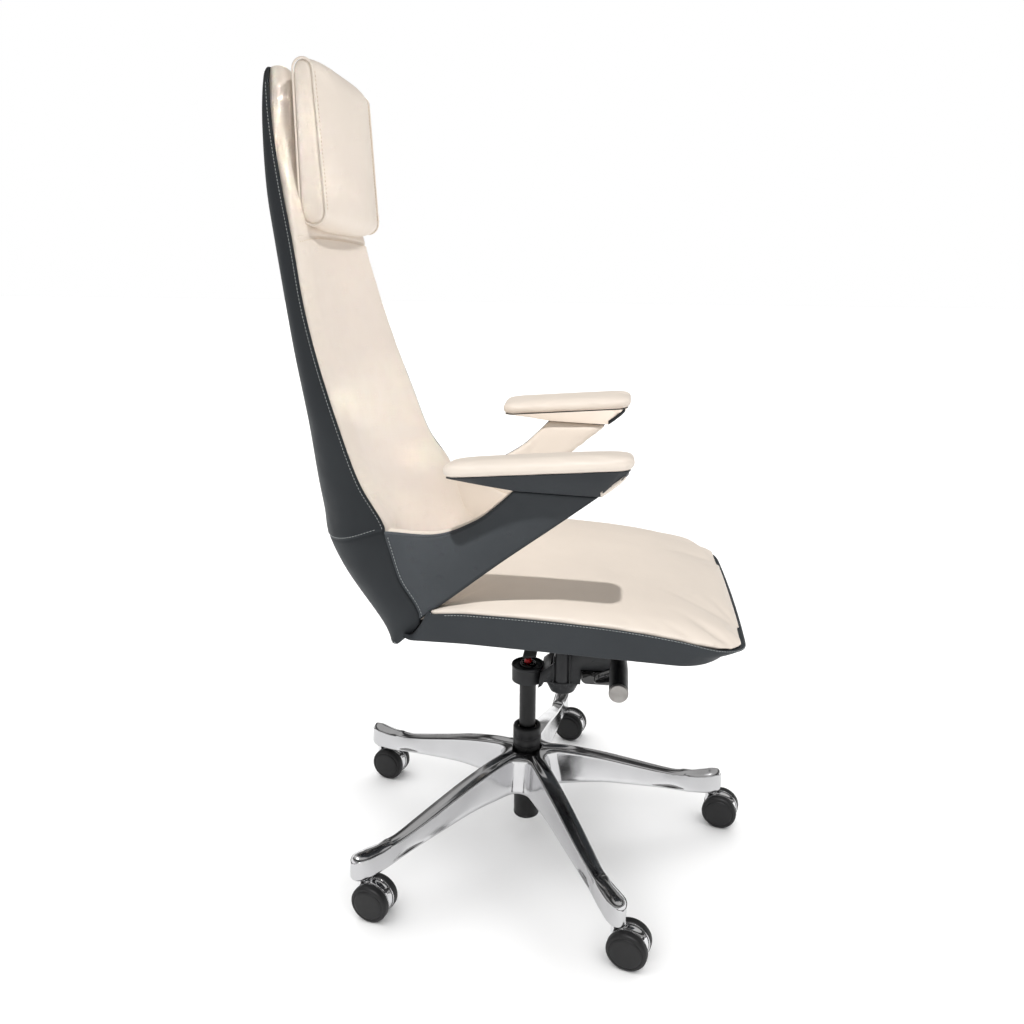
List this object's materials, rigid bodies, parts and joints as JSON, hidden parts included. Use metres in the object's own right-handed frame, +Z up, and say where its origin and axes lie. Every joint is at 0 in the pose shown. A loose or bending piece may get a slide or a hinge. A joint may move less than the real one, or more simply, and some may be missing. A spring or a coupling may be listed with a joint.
{
  "type": "swivel office chair",
  "caption": "High-back swivel office chair with wing arms, headrest, knee-tilt mechanism, gas column and polished star base on twin-wheel casters.",
  "frame": {"origin": "On the floor, on the axis of the swivel column", "axes": "+Z up, the sitter faces -Y, +X is the sitter's left"},
  "size_m": [0.6747, 0.7436, 1.225],
  "materials": {
    "polished_aluminium": "polished",
    "caster_chrome": "polished",
    "steel": "brushed",
    "black_steel": "satin",
    "cast_black": "fine texture",
    "black_plastic": "matte",
    "gloss_black_plastic": "gloss",
    "wheel_black": "satin",
    "red_plastic": "gloss",
    "nylon": "matte",
    "satin_cap": "satin",
    "slate_leather": "grained",
    "cream_leather": "grained",
    "plywood": "raw"
  },
  "bodies": {
    "base": {"base_star": "polished_aluminium", "caster_stems": "steel", "outer_tube": "black_steel", "column_collar": "black_plastic", "guide_bush": "nylon", "thrust_bearing": "steel"},
    "column": {"piston_rod": "steel", "retaining_clip": "steel"},
    "lift": {"gas_cylinder": "black_steel", "mechanism_housing": "cast_black", "front_cover": "gloss_black_plastic", "tilt_axle": "steel", "tilt_spring": "steel"},
    "valve": {"valve_button": "red_plastic"},
    "tension": {"tension_screw": "steel", "tension_knob": "black_plastic"},
    "lock": {"lock_rod": "steel"},
    "lever": {"lever_grip": "gloss_black_plastic", "lever_end_cap": "satin_cap"},
    "rocker": {"valve_lever": "black_steel"},
    "upper": {"seat_bracket": "cast_black", "seat_shell": "slate_leather", "seat_board": "plywood", "seat_cushion": "cream_leather", "seat_bolts": "steel", "back_bars": "black_steel", "back_bolts": "steel", "back_board": "plywood", "back_shell": "slate_leather", "back_pad": "cream_leather", "wing_shell_right": "slate_leather", "wing_shell_left": "slate_leather", "wing_lining_right": "cream_leather", "wing_lining_left": "cream_leather", "bracket_outer_right": "slate_leather", "bracket_outer_left": "slate_leather", "bracket_inner_right": "cream_leather", "bracket_inner_left": "cream_leather", "arm_pad_right": "cream_leather", "arm_pad_left": "cream_leather", "headrest": "cream_leather", "headrest_mounts": "black_plastic"},
    "caster_1": {"caster_hood_1": "caster_chrome", "caster_axle_1": "steel"},
    "wheels_1": {"caster_wheels_1": "wheel_black"},
    "caster_2": {"caster_hood_2": "caster_chrome", "caster_axle_2": "steel"},
    "wheels_2": {"caster_wheels_2": "wheel_black"},
    "caster_3": {"caster_hood_3": "caster_chrome", "caster_axle_3": "steel"},
    "wheels_3": {"caster_wheels_3": "wheel_black"},
    "caster_4": {"caster_hood_4": "caster_chrome", "caster_axle_4": "steel"},
    "wheels_4": {"caster_wheels_4": "wheel_black"},
    "caster_5": {"caster_hood_5": "caster_chrome", "caster_axle_5": "steel"},
    "wheels_5": {"caster_wheels_5": "wheel_black"}
  },
  "joints": [
    {"name": "chair_swivel", "type": "hinge", "parent": "base", "child": "column", "pos_m": [0, 0, 0], "axis": [0, 0, 1], "continuous": true},
    {"name": "height_slide", "type": "slide", "parent": "column", "child": "lift", "axis": [0, 0, 1], "range_m": [-0.055, 0.04]},
    {"name": "recline", "type": "hinge", "parent": "lift", "child": "upper", "pos_m": [0, -0.151, 0.372], "axis": [-1, 0, 0], "range_deg": [0, 14], "stiffness_Nm_per_rad": 90, "springref_deg": -40.11, "deforming": ["tilt_spring"]},
    {"name": "tension_turn", "type": "hinge", "parent": "lift", "child": "tension", "pos_m": [0, -0.059, 0.285], "axis": [0, 0, 1], "continuous": true},
    {"name": "lock_slide", "type": "slide", "parent": "lift", "child": "lock", "axis": [-1, 0, 0], "range_m": [0, 0.01]},
    {"name": "lever_lift", "type": "hinge", "parent": "lock", "child": "lever", "pos_m": [-0.12, -0.151, 0.372], "axis": [1, 0, 0], "range_deg": [0, 12], "stiffness_Nm_per_rad": 1.5, "springref_deg": -20.05},
    {"name": "rocker_tilt", "type": "hinge", "parent": "lift", "child": "rocker", "pos_m": [0.02, -0.112, 0.361], "axis": [-1, 0, 0], "range_deg": [0, 2]},
    {"name": "valve_press", "type": "slide", "parent": "lift", "child": "valve", "axis": [0, 0, -1], "range_m": [0, 0.0039], "stiffness_N_per_m": 60, "springref_m": -0.002},
    {"name": "caster_swivel_1", "type": "hinge", "parent": "base", "child": "caster_1", "pos_m": [-0.2895, -0.16047, 0.062], "axis": [0, 0, 1], "continuous": true},
    {"name": "wheel_roll_1", "type": "hinge", "parent": "caster_1", "child": "wheels_1", "pos_m": [-0.29434, -0.17988, 0.03], "axis": [0.9703, -0.2419, 0], "continuous": true},
    {"name": "caster_swivel_2", "type": "hinge", "parent": "base", "child": "caster_2", "pos_m": [0.06316, -0.32492, 0.062], "axis": [0, 0, 1], "continuous": true},
    {"name": "wheel_roll_2", "type": "hinge", "parent": "caster_2", "child": "wheels_2", "pos_m": [0.05832, -0.34432, 0.03], "axis": [0.9703, -0.2419, 0], "continuous": true},
    {"name": "caster_swivel_3", "type": "hinge", "parent": "base", "child": "caster_3", "pos_m": [0.32853, -0.04034, 0.062], "axis": [0, 0, 1], "continuous": true},
    {"name": "wheel_roll_3", "type": "hinge", "parent": "caster_3", "child": "wheels_3", "pos_m": [0.3237, -0.05974, 0.03], "axis": [0.9703, -0.2419, 0], "continuous": true},
    {"name": "caster_swivel_4", "type": "hinge", "parent": "base", "child": "caster_4", "pos_m": [0.13989, 0.29999, 0.062], "axis": [0, 0, 1], "continuous": true},
    {"name": "wheel_roll_4", "type": "hinge", "parent": "caster_4", "child": "wheels_4", "pos_m": [0.13505, 0.28058, 0.03], "axis": [0.9703, -0.2419, 0], "continuous": true},
    {"name": "caster_swivel_5", "type": "hinge", "parent": "base", "child": "caster_5", "pos_m": [-0.24208, 0.22574, 0.062], "axis": [0, 0, 1], "continuous": true},
    {"name": "wheel_roll_5", "type": "hinge", "parent": "caster_5", "child": "wheels_5", "pos_m": [-0.24692, 0.20633, 0.03], "axis": [0.9703, -0.2419, 0], "continuous": true}
  ],
  "couplings": [
    {"joint": "rocker_tilt", "follows": "lever_lift", "ratio": 0.16667},
    {"joint": "valve_press", "follows": "lever_lift", "m_per_rad": 0.018621}
  ]
}
